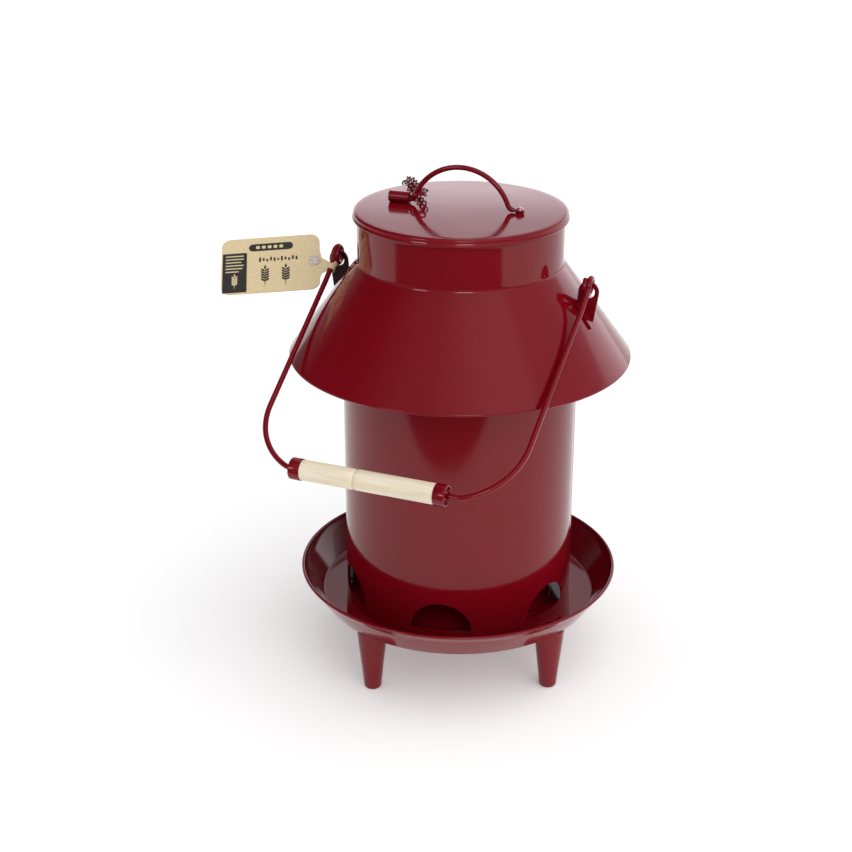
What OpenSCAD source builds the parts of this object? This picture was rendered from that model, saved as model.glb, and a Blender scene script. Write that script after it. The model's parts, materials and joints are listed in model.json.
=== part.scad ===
// Gravity poultry feeder: a sheet-metal hopper with a conical rain roof, a feed tray on
// legs, a tethered lid with a wire handle, and a wire bail with a turned wooden grip.
// The origin is on the floor under the hopper's axis. +Z is up, and the bail's ears lie on X.

/* [Hopper] */
// Outer diameter of the hopper tube
tube_d = 190; // [186:1:194]
// Sheet thickness of the hopper tube
tube_wall = 0.8; // [0.6:0.1:1.2]
// Number of half-moon feed windows
window_count = 6; // [4:1:6]
// Radius of a feed window
window_r = 25; // [20:1:27]
// Turn of the first feed window from the front
window_turn = 13; // [0:1:30]

/* [Tray and legs] */
// Diameter over the tray's rolled lip
tray_d = 267.4; // [264:0.2:274]
// Depth of the tray outside
tray_depth = 26.5; // [24:0.5:30]
// Sheet thickness of the tray
tray_wall = 1; // [0.8:0.1:1.5]
// Number of legs
leg_count = 4; // [3:1:6]
// Height of a leg
leg_h = 55.5; // [45:0.5:65]
// Radius of the circle that the legs stand on
leg_circle_r = 103.5; // [98:0.5:104]

/* [Roof] */
// Outer diameter of the filling neck
neck_d = 164; // [160:1:168]
// Diameter of the roof's lower rim
roof_d = 276.4; // [270:0.2:284]
// Height of the roof's lower rim above the floor
roof_rim_z = 273.6; // [270:0.1:278]
// Height where the neck meets the cone
neck_foot_z = 350; // [346:0.5:354]
// Sheet thickness of the roof and the lid
roof_wall = 1; // [0.8:0.1:1.2]

/* [Lid] */
// Height of the lid's top face above the floor
lid_top_z = 391.8; // [390:0.1:394]
// Diameter over the lid's rolled edge
lid_d = 170.8; // [169:0.2:174]
// Radius of the lid handle's arch
arch_r = 40.9; // [38:0.1:43]

/* [Bail] */
// Diameter of the bail wire
wire_d = 4.3; // [3.8:0.1:4.5]
// Half of the distance between the bail's eyes
bail_half = 108; // [107.8:0.1:108.2]
// Height of the bail's pivot above the floor
pivot_z = 340.9; // [340.4:0.1:341.2]
// Distance from the pivot to the grip's axis
bail_drop = 205.6; // [195:0.2:215]
// Angle between the resting bail and straight down
bail_rest = 57.1; // [50:0.1:57.5]
// Diameter of the wooden grip
grip_d = 15.8; // [14:0.1:18]
// Length of the grip over its ferrules
grip_len = 125.5; // [110:0.5:126]

/* [Hidden] */
$fn = 96;
tube_r = tube_d / 2;
tray_r = tray_d / 2;
tray_floor_z = leg_h + tray_wall;
tray_rim_z = leg_h + tray_depth;
tray_floor_r = tray_r - 17.2;
lip_r = 1.2;

roof_r = roof_d / 2;
neck_r = neck_d / 2;
cone_rise = (neck_foot_z - roof_rim_z) / (roof_r - neck_r);
cone_angle = atan(cone_rise);
cone_drop = roof_wall / cos(cone_angle);
neck_top_z = lid_top_z - 3.2;
tube_top_z = roof_rim_z + (roof_r - tube_r) * cone_rise - cone_drop - 0.2;

sill_z = tray_floor_z + 7.5;
cone_base_r = 80;
cone_top_z = tray_floor_z + 52;
cone_top_r = 10;

screw_r = 2;
leg_turn = -21.3;
bracket_turn = window_turn + 30;

ear_t = 1.5;
ear_hole_r = 5;
ear_head_r = 8.3;
ear_hole_x = 107;
ear_hole_z = 336.6;
eye_r = 6.5;
eye_wire_r = 2.35;

wire_r = wire_d / 2;
bail_slant = 0.77;
bend_r = 56;
end_bend_r = 14;
end_bend = 24;
bail_straight = 67;
grip_shift = -3.65;
ferrule_len = 9;
ferrule_r = grip_d / 2 + 0.5;

handle_turn = 3.7;
handle_wire_r = 2.1;
arch_z = lid_top_z + 32.2 - arch_r;
foot_z = lid_top_z + 2.6;
foot_x = sqrt(pow(arch_r, 2) - pow(foot_z - arch_z, 2));
rivet_x = foot_x + 8.6;
rivet_eye_r = 3.9;
barrel_r = 4.5;
barrel_gap = 3.3;

coil_r = 6;
coil_wire_r = 0.7;
coil_x = -35.6;
coil_lift = 8.2;
link_r = 3.4;
link_wire_r = 0.7;
chain_turn = 141.8;
staple_r = 88;
staple_low = 354;
staple_high = 381;
end_ring_r = 6;
end_ring_wire_r = 0.8;
end_ring_at = 91.6;
end_ring_z = 360.5;

tag_w = 81;
tag_h = 56.8;
tag_t = 0.8;
tag_twist = 9.5;
tag_skew = -21.6;
tag_shoulder = 10;
tag_low = -21.9;
loop_drop = 13.4;
loop_h = 8;
loop_r = 2.6;

paint = [0.36, 0.02, 0.05];
wood = [0.87, 0.78, 0.6];
zinc = [0.7, 0.7, 0.72];
kraft = [0.8, 0.71, 0.52];

// Points of an arc about a centre, from one angle to another.
function arc(x, y, r, from, to, steps = 10) =
    [for (i = [0 : steps]) let (a = from + (to - from) * i / steps) [x + r * cos(a), y + r * sin(a)]];

// Height of the roof cone's outer surface at a radius.
function cone_z(r) = roof_rim_z + (roof_r - r) * cone_rise;

module around(count, turn = 0) {
    for (i = [0 : count - 1]) rotate([0, 0, turn + 360 * i / count]) children();
}

// A round bar in the XZ plane between two points given as [x, z].
module bar(from, to, r) {
    d = to - from;
    translate([from[0], 0, from[1]]) rotate([0, atan2(d[0], d[1]), 0]) cylinder(h = norm(d), r = r);
}

// A bent round bar in the XZ plane about [x, z], swept from one angle to another.
module bend(centre, radius, from, to, r) {
    translate([centre[0], 0, centre[1]])
        rotate([90, 0, 0])
            rotate([0, 0, from])
                rotate_extrude(angle = to - from) translate([radius, 0]) circle(r = r, $fn = 32);
}

module ring(radius, r) {
    rotate_extrude() translate([radius, 0]) circle(r = r, $fn = 32);
}

// ---- tray and legs ----

module tray() {
    color(paint) difference() {
        rotate_extrude() union() {
            polygon(concat(
                [[0, leg_h], [tray_floor_r - 1, leg_h], [tray_floor_r + 1.2, leg_h + 1.4]],
                [[tray_r - 0.5, tray_rim_z - 1.2], [tray_r - 1.6, tray_rim_z - 0.8]],
                [[tray_floor_r + 0.2, leg_h + 2.2], [tray_floor_r - 1.4, tray_floor_z]],
                [[0, tray_floor_z]]));
            translate([tray_r - lip_r, tray_rim_z - lip_r]) circle(r = lip_r, $fn = 32);
        }
        around(leg_count, leg_turn)
            translate([0, -leg_circle_r, leg_h - 1]) cylinder(h = 4, r = screw_r + 0.1);
        around(3, bracket_turn) translate([0, -88.5, leg_h - 1]) cylinder(h = 4, r = 1.6);
        translate([0, 0, leg_h - 1]) cylinder(h = 4, r = 2.6);
    }
}

module leg_body() {
    color(paint) difference() {
        rotate_extrude() polygon(concat(
            [[0, 0]], arc(4.4, 3, 3, -90, -8, 6), [[12.8, leg_h], [11.6, leg_h], [6.2, 5], [3.9, 5]],
            [[3.9, leg_h], [0, leg_h]]));
        translate([0, 0, leg_h - 16]) cylinder(h = 17, r = screw_r + 0.05);
    }
}

module leg(i) {
    rotate([0, 0, leg_turn + 360 * (i - 1) / leg_count]) translate([0, -leg_circle_r, 0]) leg_body();
}

module leg_1() { leg(1); }
module leg_2() { leg(2); }
module leg_3() { leg(3); }
module leg_4() { leg(4); }

// Pan-head screw with its bearing face at z = 0 and its shank pointing down.
module screw(shank_r, shank_len, head_r, head_h) {
    difference() {
        union() {
            rotate_extrude() polygon(concat(
                [[0, 0], [head_r, 0]], arc(head_r - 0.8, head_h - 0.8, 0.8, 0, 90, 5), [[0, head_h]]));
            translate([0, 0, -shank_len]) cylinder(h = shank_len + 0.5, r = shank_r);
        }
        for (a = [0, 90]) rotate([0, 0, a])
            translate([0, 0, head_h]) cube([head_r * 1.2, 0.9, 2], center = true);
    }
}

module leg_screws() {
    color(paint) around(leg_count, leg_turn)
        translate([0, -leg_circle_r, tray_floor_z + 0.8]) screw(screw_r, 15, 3.4, 1.6);
}

module leg_washers() {
    color(paint) around(leg_count, leg_turn) translate([0, -leg_circle_r, tray_floor_z]) difference() {
        cylinder(h = 0.8, r = 5);
        translate([0, 0, -1]) cylinder(h = 3, r = screw_r + 0.1);
    }
}

// ---- hopper ----

module feed_cone() {
    color(paint) difference() {
        rotate_extrude() polygon([
            [0, cone_top_z], [cone_top_r, cone_top_z], [cone_base_r - 3, tray_floor_z + 0.9],
            [cone_base_r, tray_floor_z + 0.9], [cone_base_r, tray_floor_z], [cone_base_r - 4, tray_floor_z],
            [cone_top_r - 0.4, cone_top_z - 0.9], [0, cone_top_z - 0.9]]);
        translate([0, 0, cone_top_z - 3]) cylinder(h = 6, r = 2.6);
    }
}

module cone_bolt() {
    color(zinc) union() {
        translate([0, 0, leg_h - 3]) rotate_extrude()
            polygon(concat([[0, 3], [6, 3]], arc(4.5, 1.5, 1.5, 0, -90, 5), [[0, 0]]));
        translate([0, 0, leg_h - 0.5]) cylinder(h = cone_top_z + 8 - leg_h, r = 2.5);
    }
}

module cone_nut() {
    color(zinc) translate([0, 0, cone_top_z]) difference() {
        cylinder(h = 4.4, r = 5.2, $fn = 6);
        translate([0, 0, -1]) cylinder(h = 7, r = 2.55);
    }
}

module window_cut() {
    translate([0, -tube_r - 8, sill_z]) intersection() {
        rotate([-90, 0, 0]) cylinder(h = 16, r = window_r);
        translate([-50, -1, 0]) cube([100, 20, 60]);
    }
}

module hopper_tube() {
    color(paint) difference() {
        union() {
            difference() {
                translate([0, 0, tray_floor_z]) cylinder(h = tube_top_z - tray_floor_z, r = tube_r);
                translate([0, 0, tray_floor_z - 1])
                    cylinder(h = tube_top_z - tray_floor_z + 2, r = tube_r - tube_wall);
            }
            // the lap seam, a second layer of sheet down one side
            rotate([0, 0, 15.5]) rotate_extrude(angle = 6)
                translate([tube_r - 0.4, tray_floor_z + 0.5]) square([1.1, tube_top_z - tray_floor_z - 3]);
        }
        around(window_count, window_turn) window_cut();
    }
}

module tube_brackets() {
    color(paint) difference() {
        around(3, bracket_turn - 90 - 4) rotate_extrude(angle = 8) polygon([
            [83, tray_floor_z], [tube_r - tube_wall, tray_floor_z], [tube_r - tube_wall, tray_floor_z + 14],
            [tube_r - tube_wall - 1, tray_floor_z + 14], [tube_r - tube_wall - 1, tray_floor_z + 1],
            [83, tray_floor_z + 1]]);
        around(3, bracket_turn) translate([0, -88.5, leg_h - 1]) cylinder(h = 6, r = 1.6);
    }
}

module bracket_screws() {
    color(zinc) around(3, bracket_turn)
        translate([0, -88.5, leg_h]) rotate([180, 0, 0]) screw(1.5, 5, 3, 1.8);
}

// ---- roof ----

module roof_shell() {
    fillet = 7;
    turn = 90 - cone_angle;
    reach = fillet * tan(turn / 2);
    bead_r = 1.1;
    hem_r = 1.3;
    color(paint) rotate_extrude() polygon(concat(
        // bead round the neck's mouth, then down the outside to the hem
        arc(neck_r - 0.3, neck_top_z - bead_r, bead_r, 205, -60, 12),
        arc(neck_r + fillet, neck_foot_z + reach, fillet, 180, 180 + turn, 6),
        arc(roof_r - hem_r, cone_z(roof_r - hem_r) - hem_r / cos(cone_angle), hem_r, turn, -190, 12),
        [[roof_r - 3, cone_z(roof_r - 3) - cone_drop]],
        // inside, back up to the mouth
        arc(neck_r + fillet, neck_foot_z + reach, fillet + roof_wall, 180 + turn, 180, 6)));
}

// Upright plate of an ear, as [x, z] points: a round head that tapers to a foot on the cone.
function ear_outline() = concat(
    arc(ear_hole_x, ear_hole_z, ear_head_r, 180, -12, 24),
    [[111.4, cone_z(111.4) + 0.4], [98, cone_z(98) + 0.4]]);

module ear() {
    slope_len = 22;
    color(paint) union() {
        translate([0, ear_t / 2, 0]) rotate([90, 0, 0]) difference() {
            linear_extrude(ear_t) polygon(ear_outline());
            translate([ear_hole_x, ear_hole_z, -1]) cylinder(h = 4, r = ear_hole_r);
        }
        translate([99, -9, cone_z(99) + 0.1]) rotate([0, cone_angle, 0]) cube([slope_len, 9.4, ear_t]);
    }
}

module ear_right() { ear(); }
module ear_left() { rotate([0, 0, 180]) ear(); }

// An upright wire staple behind the neck, which the chain's end ring slides on.
module chain_anchor() {
    reach = staple_r - neck_r;
    color(paint) rotate([0, 0, chain_turn]) union() {
        bar([staple_r, staple_low], [staple_r, staple_high], 1);
        for (z = [staple_low, staple_high]) {
            bar([staple_r - reach + 0.3, z], [staple_r, z], 1);
            translate([staple_r, 0, z]) sphere(r = 1.03, $fn = 32);
        }
    }
}

// ---- lid ----

module lid_cap() {
    skirt_z = lid_top_z - 6.9;
    edge = 2.4;
    bead_r = 1.1;
    lid_r = lid_d / 2;
    edge_x = lid_r - 0.6 - edge;
    color(paint) difference() {
        rotate_extrude() polygon(concat(
        [[0, lid_top_z]],
        arc(edge_x, lid_top_z - edge, edge, 90, 0, 6),
        arc(lid_r - bead_r, skirt_z + bead_r, bead_r, 60, -200, 10),
        arc(edge_x, lid_top_z - edge, edge - roof_wall, 0, 90, 6),
        [[0, lid_top_z - roof_wall]]));
        on_handle() translate([rivet_x, 0, lid_top_z - 2]) cylinder(h = 4, r = 1.7);
    }
}

module on_handle() {
    rotate([0, 0, handle_turn]) children();
}

module lid_handle() {
    lean = atan2(foot_z - arch_z, foot_x);
    color(paint) on_handle() union() {
        bend([0, arch_z], arch_r, lean, 180 - lean, handle_wire_r);
        for (side = [-1, 1]) translate([side * foot_x, 0, foot_z]) sphere(r = handle_wire_r + 0.15, $fn = 32);
        bar([-foot_x, foot_z], [-foot_x - 15, foot_z + 2], handle_wire_r);
        bar([foot_x, foot_z], [rivet_x - 3, foot_z - 0.5], handle_wire_r - 0.9);
        difference() {
            translate([rivet_x, 0, lid_top_z + 1]) cylinder(h = 2, r = rivet_eye_r);
            translate([rivet_x, 0, lid_top_z]) cylinder(h = 5, r = 1.7);
        }
    }
}

module handle_washer() {
    color(paint) on_handle() translate([rivet_x, 0, lid_top_z]) difference() {
        cylinder(h = 0.8, r = 3.4);
        translate([0, 0, -1]) cylinder(h = 3, r = 1.7);
    }
}

// A riveted stem with its dome standing on the handle's eye and its upset end under the lid.
module handle_rivet() {
    color(paint) on_handle() translate([rivet_x, 0, lid_top_z]) union() {
        translate([0, 0, -roof_wall - 0.6]) cylinder(h = roof_wall + 4, r = 1.6);
        translate([0, 0, -roof_wall - 1.2]) cylinder(h = 1, r = 2.6);
        translate([0, 0, 3.05]) rotate_extrude() polygon(concat([[0, 0]], arc(0, -1.1, 3.1, 21, 90, 8)));
    }
}

module handle_barrel() {
    color(paint) on_handle() translate([-foot_x - barrel_gap, 0, lid_top_z + barrel_r + 0.02])
        rotate([0, -90, 0]) difference() {
            cylinder(h = 16.5, r = barrel_r);
            translate([0, 0, -1]) cylinder(h = 19, r = barrel_r - 0.8);
            translate([0.6, 0, -1]) cube([6, 2.2, 19]);
        }
}

module split_ring() {
    color(zinc) on_handle() translate([coil_x, 0, lid_top_z + coil_lift]) rotate([0, -15, 0])
        for (z = [-0.75, 0.75]) translate([0, 0, z]) ring(coil_r, coil_wire_r);
}

// A link of the chain at the origin, running along X, turned about the run.
module link(i) {
    rotate([i % 2 == 0 ? 45 : -45, 0, 0]) ring(link_r, link_wire_r);
}

// Links from one point to another, evenly spaced, the last one on the second point.
module links(from, to, count, first) {
    d = to - from;
    for (i = [1 : count]) translate(from + d * i / count)
        rotate([0, 0, atan2(d[1], d[0])])
            rotate([0, -atan2(d[2], norm([d[0], d[1]])), 0]) link(i + first);
}

// A point in the chain's own upright plane: radius and height.
function chain_point(r, z) = [r * cos(chain_turn), r * sin(chain_turn), z];

// A point over the lid in the handle's frame, its height measured from the lid's top face.
function over_lid(x, y, z) =
    [x * cos(handle_turn) - y * sin(handle_turn), x * sin(handle_turn) + y * cos(handle_turn), lid_top_z + z];

on_coil = over_lid(-34.39, 6.48, 7.85);
off_coil = over_lid(-34.3, 10.88, 6.42);
lid_flat = over_lid(-36.68, 14.63, 4.85);
lid_edge = chain_point(82.94, lid_top_z + 3.22);
lid_corner = chain_point(87.07, lid_top_z + 1.71);
lid_below = chain_point(89.58, lid_top_z - 1.97);
chain_foot = chain_point(96.86, lid_top_z - 30.93);

module chain_on_lid() {
    color(paint) union() {
        links(2 * on_coil - off_coil, on_coil, 1, -1);
        links(on_coil, off_coil, 1, 0);
        links(off_coil, lid_flat, 1, 1);
        links(lid_flat, lid_edge, 10, 2);
    }
}

module chain_hanging() {
    color(paint) union() {
        links(lid_edge, lid_corner, 1, 12);
        links(lid_corner, lid_below, 1, 13);
        links(lid_below, chain_foot, 6, 14);
    }
}

module chain_end_ring() {
    color(zinc) rotate([0, 0, chain_turn]) translate([end_ring_at, 0, end_ring_z])
        ring(end_ring_r, end_ring_wire_r);
}

// ---- bail ----

// Places what hangs straight down from the pivot at the bail's resting angle.
module at_rest() {
    translate([0, 0, pivot_z]) rotate([-bail_rest, 0, 0]) children();
}

// One side of the bail from the grip's straight up to its eye, in a frame with the pivot at
// the origin and the bail hanging straight down.
module bail_side() {
    p1 = [bail_straight, -bail_drop];
    c1 = [bail_straight, -bail_drop + end_bend_r];
    p2 = c1 + end_bend_r * [cos(end_bend - 90), sin(end_bend - 90)];
    c2 = p2 - bend_r * [cos(end_bend - 90), sin(end_bend - 90)];
    p3 = c2 + bend_r * [cos(bail_slant), -sin(bail_slant)];
    for (p = [p1, p2, p3]) translate([p[0], 0, p[1]]) sphere(r = wire_r + 0.03, $fn = 32);
    bend(c1, end_bend_r, -90, end_bend - 90, wire_r);
    bend(c2, bend_r, end_bend - 90, -bail_slant, wire_r);
    bar(p3, [bail_half, -eye_r], wire_r);
    translate([bail_half, 0, 0]) rotate([0, 90, 0]) ring(eye_r, eye_wire_r);
}

module bail_wire() {
    color(paint) at_rest() union() {
        bar([-bail_straight, -bail_drop], [bail_straight, -bail_drop], wire_r);
        bail_side();
        mirror([1, 0, 0]) bail_side();
    }
}

module on_grip() {
    at_rest() translate([grip_shift, 0, -bail_drop]) rotate([0, 90, 0]) children();
}

module grip_wood() {
    r = grip_d / 2;
    half = grip_len / 2 - 1.2;
    seat = grip_len / 2 - ferrule_len;
    color(wood) on_grip() difference() {
        rotate_extrude() polygon([
            [0, -half], [r - 0.6, -half], [r - 0.6, -seat], [r, -seat], [r, -11.6], [r - 1.4, -10],
            [r, -8.4], [r, seat], [r - 0.6, seat], [r - 0.6, half], [0, half]]);
        translate([0, 0, -half - 1]) cylinder(h = 2 * half + 2, r = wire_r + 0.06);
    }
}

// A pressed cap over one end of the grip, with a recessed end face.
module ferrule(side) {
    half = grip_len / 2;
    wood_r = grip_d / 2 - 0.6;
    color(paint) on_grip() mirror([0, 0, side < 0 ? 1 : 0]) rotate_extrude() polygon([
        [wire_r + 0.06, half - 1.2], [wood_r, half - 1.2], [wood_r, half - ferrule_len],
        [ferrule_r, half - ferrule_len], [ferrule_r, half - 0.5], [ferrule_r - 0.5, half],
        [ferrule_r - 1.3, half], [ferrule_r - 1.6, half - 0.4], [wire_r + 0.06, half - 0.4]]);
}

module ferrule_left() { ferrule(-1); }
module ferrule_right() { ferrule(1); }

// ---- hang tag ----

// The frame of the tag's loop: the wire runs down -Z, and the card leaves towards -X.
module on_loop() {
    at_rest() translate([-bail_half + 0.18, 0, -loop_drop]) rotate([0, 0, tag_twist]) children();
}

// The card's own frame: X along the card towards its loop, Z up the card, Y away from its face.
module on_card() {
    on_loop() rotate([0, tag_skew, 0]) children();
}

// X on the card at a height, just outside the strap that wraps the wire.
function beside_wire(z) = (-(loop_r + 0.4) - z * sin(tag_skew)) / cos(tag_skew);

function card_outline() = let (
    x0 = -tag_shoulder - tag_w, x1 = -tag_shoulder, z0 = tag_low, z1 = tag_low + tag_h, r = 8) concat(
    arc(x0 + r, z1 - r, r, 180, 90, 6),
    arc(x1 - r, z1 - r, r, 90, 0, 6),
    [[x1, 18], [x1 + 1.6, 9.5], [beside_wire(4.2), 4.2]],
    [[beside_wire(-4.2), -4.2], [x1 + 1.6, -6], [x1, -10]],
    arc(x1 - r, z0 + r, r, 0, -90, 6),
    arc(x0 + r, z0 + r, r, -90, -180, 6));

module tag_card() {
    color(kraft) union() {
        on_card() rotate([90, 0, 0]) translate([0, 0, -tag_t / 2]) difference() {
            linear_extrude(tag_t) polygon(card_outline());
            translate([-tag_shoulder - 4.5, 7, -2]) cylinder(h = 6, r = 1.7);
        }
        // the strap that wraps round the wire
        on_loop() translate([0, 0, -loop_h / 2]) difference() {
            cylinder(h = loop_h, r = loop_r + 0.7);
            translate([0, 0, -1]) cylinder(h = loop_h + 2, r = loop_r);
        }
    }
}

module tag_rivet() {
    color([0.85, 0.85, 0.82]) on_card() translate([-tag_shoulder - 4.5, 0, 7]) rotate([90, 0, 0]) union() {
        translate([0, 0, -1.5]) cylinder(h = 3, r = 1.6);
        translate([0, 0, tag_t / 2]) cylinder(h = 1.8, r = 5);
        translate([0, 0, -tag_t / 2 - 1.8]) cylinder(h = 1.8, r = 5);
    }
}

tray();
leg_1();
leg_2();
leg_3();
leg_4();
leg_screws();
leg_washers();
feed_cone();
cone_bolt();
cone_nut();
hopper_tube();
tube_brackets();
bracket_screws();
roof_shell();
ear_left();
ear_right();
chain_anchor();
lid_cap();
lid_handle();
handle_barrel();
handle_rivet();
handle_washer();
split_ring();
chain_on_lid();
chain_hanging();
chain_end_ring();
bail_wire();
grip_wood();
ferrule_left();
ferrule_right();
tag_card();
tag_rivet();
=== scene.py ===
import bpy
import json
import math
from mathutils import Matrix, Vector


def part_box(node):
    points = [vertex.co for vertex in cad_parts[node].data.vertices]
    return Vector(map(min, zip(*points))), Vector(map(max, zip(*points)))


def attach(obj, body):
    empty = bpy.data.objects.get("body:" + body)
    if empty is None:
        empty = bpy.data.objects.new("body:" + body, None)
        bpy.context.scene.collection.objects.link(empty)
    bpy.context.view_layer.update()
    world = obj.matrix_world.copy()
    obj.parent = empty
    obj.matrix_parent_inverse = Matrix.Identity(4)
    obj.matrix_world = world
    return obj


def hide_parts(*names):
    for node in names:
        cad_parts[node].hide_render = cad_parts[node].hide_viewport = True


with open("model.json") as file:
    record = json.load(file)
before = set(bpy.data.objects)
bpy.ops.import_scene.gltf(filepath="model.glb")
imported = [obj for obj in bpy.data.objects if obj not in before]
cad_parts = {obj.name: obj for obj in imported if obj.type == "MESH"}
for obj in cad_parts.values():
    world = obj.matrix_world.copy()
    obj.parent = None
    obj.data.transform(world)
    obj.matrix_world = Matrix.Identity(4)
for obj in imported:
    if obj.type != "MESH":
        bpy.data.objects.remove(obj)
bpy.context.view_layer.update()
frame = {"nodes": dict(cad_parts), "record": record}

# Lengths are millimetres in the part's frame, and MM turns them into the scene's metres.
MM = 0.001
# Points nearer to each other than this, in millimetres, count as one.
TINY = 1e-6


def rad(deg):
    return math.radians(deg)


def box(node):
    """A CAD node's lowest and highest corner, in millimetres."""
    return [Vector(v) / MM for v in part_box(node)]


# ---- mesh helpers -------------------------------------------------------------------------

def piece(name, verts, faces, material, body, slot=None, replaces=(), sharp=35, smooth=True):
    """A mesh piece from vertices in millimetres, riding on a body."""
    mesh = bpy.data.meshes.new(name)
    mesh.from_pydata([tuple(c * MM for c in v) for v in verts], [], faces)
    mesh.validate()
    mesh.update()
    obj = bpy.data.objects.new(name, mesh)
    bpy.context.scene.collection.objects.link(obj)
    mesh.materials.append(material)
    if smooth:
        mesh.shade_smooth()
        mesh.set_sharp_from_angle(angle=rad(sharp))
    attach(obj, body)
    if replaces:
        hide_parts(*replaces)
    return obj


def arc(x, y, r, a0, a1, steps=10):
    """Points round (x, y) from angle a0 to angle a1, in degrees."""
    angles = [rad(a0 + (a1 - a0) * i / steps) for i in range(steps + 1)]
    return [(x + r * math.cos(a), y + r * math.sin(a)) for a in angles]


def lathe(profile, segments=192, closed=True, matrix=None):
    """Vertices and faces of a profile of (radius, height) turned round Z. Radius 0 gives one vertex."""
    verts, rows = [], []
    for r, z in profile:
        if r < TINY:
            rows.append([len(verts)] * segments)
            verts.append((0, 0, z))
        else:
            rows.append([len(verts) + i for i in range(segments)])
            verts += [(r * math.cos(2 * math.pi * i / segments), r * math.sin(2 * math.pi * i / segments), z)
                      for i in range(segments)]
    faces = []
    n = len(profile)
    for k in range(n if closed else n - 1):
        a, b = rows[k], rows[(k + 1) % n]
        for i in range(segments):
            j = (i + 1) % segments
            quad = []
            for v in (a[i], a[j], b[j], b[i]):
                if v not in quad:
                    quad.append(v)
            if len(quad) > 2:
                faces.append(quad)
    if matrix is not None:
        verts = [tuple(matrix @ Vector(v)) for v in verts]
    return verts, faces


def sweep(path, radius, sides=16, closed=False, matrix=None):
    """A tube along points in millimetres; radius is a number or one per point."""
    pts = [Vector(p) for p in path]
    n = len(pts)
    tangents = []
    for i in range(n):
        if closed:
            t = pts[(i + 1) % n] - pts[i - 1]
        else:
            t = pts[min(i + 1, n - 1)] - pts[max(i - 1, 0)]
        tangents.append(t.normalized())
    side = tangents[0].orthogonal().normalized()
    frames = []
    for t in tangents:
        side = (side - t * side.dot(t)).normalized()
        frames.append((side.copy(), t.cross(side).normalized()))
    twist = 0.0
    if closed:
        t = tangents[0]
        last = (side - t * side.dot(t)).normalized()
        twist = math.atan2(last.dot(frames[0][1]), last.dot(frames[0][0]))
    verts, faces = [], []
    for i in range(n):
        r = radius[i] if isinstance(radius, (list, tuple)) else radius
        shift = -twist * i / n if closed else 0.0
        for k in range(sides):
            a = 2 * math.pi * k / sides + shift
            verts.append(tuple(pts[i] + r * (math.cos(a) * frames[i][0] + math.sin(a) * frames[i][1])))
    rings = n if closed else n - 1
    for i in range(rings):
        for k in range(sides):
            a, b = i * sides, ((i + 1) % n) * sides
            m = (k + 1) % sides
            faces.append([a + k, a + m, b + m, b + k])
    if not closed:
        faces.append(list(range(sides))[::-1])
        faces.append([(n - 1) * sides + k for k in range(sides)])
    if matrix is not None:
        verts = [tuple(matrix @ Vector(v)) for v in verts]
    return verts, faces


def join(parts):
    """One mesh from several pairs of vertices and faces."""
    verts, faces = [], []
    for v, f in parts:
        base = len(verts)
        verts += v
        faces += [[base + i for i in face] for face in f]
    return verts, faces


def plate(outline, y0, y1, matrix=None):
    """A flat plate from an outline of (x, z), between two y values."""
    n = len(outline)
    verts = [(x, y0, z) for x, z in outline] + [(x, y1, z) for x, z in outline]
    faces = [list(range(n)), [n + i for i in range(n)][::-1]]
    faces += [[i, n + i, n + (i + 1) % n, (i + 1) % n] for i in range(n)]
    if matrix is not None:
        verts = [tuple(matrix @ Vector(v)) for v in verts]
    return verts, faces


def smooth_path(points, per=10):
    """A Catmull-Rom curve through points."""
    pts = [Vector(p) for p in points]
    out = []
    for i in range(len(pts) - 1):
        p0, p1, p2, p3 = pts[max(i - 1, 0)], pts[i], pts[i + 1], pts[min(i + 2, len(pts) - 1)]
        for k in range(per):
            t = k / per
            out.append(0.5 * (2 * p1 + (p2 - p0) * t + (2 * p0 - 5 * p1 + 4 * p2 - p3) * t ** 2
                              + (3 * p1 - p0 - 3 * p2 + p3) * t ** 3))
    out.append(pts[-1])
    return out


# ---- materials ----------------------------------------------------------------------------

# Sockets of a colour Mix node, which have no names of their own.
MIX_A, MIX_B, MIX_RESULT = 6, 7, 2
# The range that most of a noise texture's values lie in.
NOISE_LOW, NOISE_HIGH = 0.3, 0.7
PAINT_IOR = 1.4
PLASTIC_IOR = 1.46


def new_material(name):
    mat = bpy.data.materials.new(name)
    mat.use_nodes = True
    tree = mat.node_tree
    return mat, tree, tree.nodes["Principled BSDF"]


def coords(tree, scale=(1, 1, 1)):
    tex = tree.nodes.new("ShaderNodeTexCoord")
    mapping = tree.nodes.new("ShaderNodeMapping")
    mapping.inputs["Scale"].default_value = scale
    tree.links.new(tex.outputs["Object"], mapping.inputs["Vector"])
    return mapping.outputs["Vector"]


def noise(tree, vector, scale, detail=3.0, rough=0.5, distortion=0.0):
    node = tree.nodes.new("ShaderNodeTexNoise")
    node.inputs["Scale"].default_value = scale
    node.inputs["Detail"].default_value = detail
    node.inputs["Roughness"].default_value = rough
    node.inputs["Distortion"].default_value = distortion
    tree.links.new(vector, node.inputs["Vector"])
    return node.outputs["Fac"]


def ramp(tree, fac, stops):
    node = tree.nodes.new("ShaderNodeValToRGB")
    elements = node.color_ramp.elements
    while len(elements) < len(stops):
        elements.new(0.5)
    for element, (pos, colour) in zip(elements, stops):
        element.position = pos
        element.color = (*colour, 1)
    tree.links.new(fac, node.inputs["Fac"])
    return node.outputs["Color"]


def remap(tree, fac, low, high):
    node = tree.nodes.new("ShaderNodeMapRange")
    node.inputs["From Min"].default_value = NOISE_LOW
    node.inputs["From Max"].default_value = NOISE_HIGH
    node.inputs["To Min"].default_value = low
    node.inputs["To Max"].default_value = high
    tree.links.new(fac, node.inputs["Value"])
    return node.outputs["Result"]


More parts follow.
